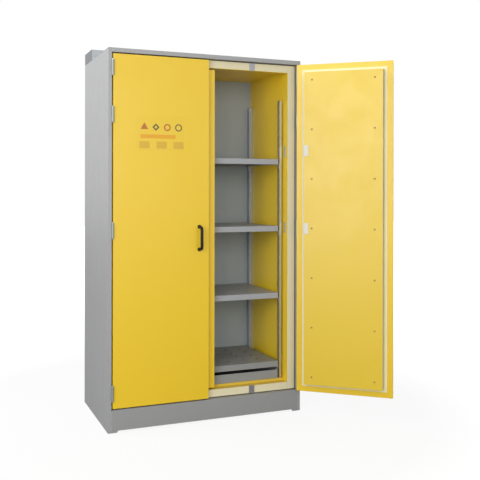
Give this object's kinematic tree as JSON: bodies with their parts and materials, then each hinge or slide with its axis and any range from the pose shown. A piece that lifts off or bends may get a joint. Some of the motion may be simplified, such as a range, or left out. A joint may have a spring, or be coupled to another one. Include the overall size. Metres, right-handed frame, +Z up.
{
  "type": "battery cabinet",
  "caption": "Tall fire-rated battery storage cabinet with hinged insulated doors, slotted uprights, shelves, a sump tray and a roof exhaust duct.",
  "frame": {"origin": "middle of the casing's footprint, at floor level", "axes": "+X to the right as seen from the front, +Y to the back, +Z up; the doors are in the -Y face"},
  "size_m": [1.4693, 0.9465, 2.0356],
  "materials": {
    "casing_grey": "light grey powder coat, fine satin texture",
    "dark_grey": "dark grey powder coat",
    "door_yellow": "warning yellow powder coat, satin",
    "liner_yellow": "yellow coated liner sheet, satin",
    "interior_grey": "grey coated liner sheet, satin",
    "shelf_grey": "light grey powder-coated shelf steel",
    "zinc_steel": "zinc-plated steel",
    "foot_steel": "zinc-plated steel",
    "fire_board": "cream coated calcium silicate board, matte",
    "insulation_board": "mineral insulation board, matte",
    "seal": "off-white intumescent seal strip",
    "white_plastic": "white moulded plastic",
    "black_plastic": "black moulded plastic"
  },
  "bodies": {
    "carcass": {"back_insulation": "insulation_board", "back_liner": "interior_grey", "back_panel": "casing_grey", "base_pan": "casing_grey", "bottom_frame_board": "fire_board", "bottom_insulation": "insulation_board", "bottom_liner": "liner_yellow", "catch_plates": "zinc_steel", "duct_box": "casing_grey", "duct_end_caps": "dark_grey", "exhaust_spigot": "zinc_steel", "foot_brackets": "zinc_steel", "frame_hinge_plates": "zinc_steel", "hinge_pins": "zinc_steel", "joint_plates": "zinc_steel", "left_frame_board": "fire_board", "left_front_upright": "zinc_steel", "left_insulation": "insulation_board", "left_liner": "liner_yellow", "left_rear_upright": "zinc_steel", "left_side_panel": "casing_grey", "lower_shelf": "shelf_grey", "middle_shelf": "shelf_grey", "plinth_front": "casing_grey", "rear_cross_member": "casing_grey", "right_frame_board": "fire_board", "right_front_upright": "zinc_steel", "right_insulation": "insulation_board", "right_liner": "liner_yellow", "right_rear_upright": "zinc_steel", "right_side_panel": "casing_grey", "roof_panel": "casing_grey", "shelf_clips": "zinc_steel", "sump_insert": "shelf_grey", "sump_tray": "shelf_grey", "top_frame_board": "fire_board", "top_insulation": "insulation_board", "top_liner": "liner_yellow", "top_shelf": "shelf_grey"},
    "left_door": {"left_door_astragal": "door_yellow", "left_door_blocks": "white_plastic", "left_door_core": "fire_board", "left_door_cover": "door_yellow", "left_door_screws": "zinc_steel", "left_door_seal": "seal", "left_door_skin": "door_yellow", "left_handle": "black_plastic", "left_hinge_plates": "zinc_steel"},
    "right_door": {"right_door_blocks": "white_plastic", "right_door_core": "fire_board", "right_door_cover": "door_yellow", "right_door_screws": "zinc_steel", "right_door_seal": "seal", "right_door_skin": "door_yellow", "right_handle": "black_plastic", "right_hinge_plates": "zinc_steel"},
    "front_left_foot_body": {"front_left_foot": "foot_steel"},
    "front_right_foot_body": {"front_right_foot": "foot_steel"},
    "rear_left_foot_body": {"rear_left_foot": "foot_steel"},
    "rear_right_foot_body": {"rear_right_foot": "foot_steel"}
  },
  "joints": [
    {"name": "left_door_hinge", "type": "hinge", "parent": "carcass", "child": "left_door", "pos_m": [-0.523, -0.3013, 1], "axis": [0, 0, 1], "range_deg": [-141, 0]},
    {"name": "right_door_hinge", "type": "hinge", "parent": "carcass", "child": "right_door", "pos_m": [0.523, -0.3013, 1], "axis": [0, 0, 1], "range_deg": [-141, 0]},
    {"name": "front_left_foot_screw", "type": "slide", "parent": "carcass", "child": "front_left_foot_body", "axis": [0, 0, -1], "range_m": [0, 0.015]},
    {"name": "front_right_foot_screw", "type": "slide", "parent": "carcass", "child": "front_right_foot_body", "axis": [0, 0, -1], "range_m": [0, 0.015]},
    {"name": "rear_left_foot_screw", "type": "slide", "parent": "carcass", "child": "rear_left_foot_body", "axis": [0, 0, -1], "range_m": [0, 0.015]},
    {"name": "rear_right_foot_screw", "type": "slide", "parent": "carcass", "child": "rear_right_foot_body", "axis": [0, 0, -1], "range_m": [0, 0.015]}
  ]
}
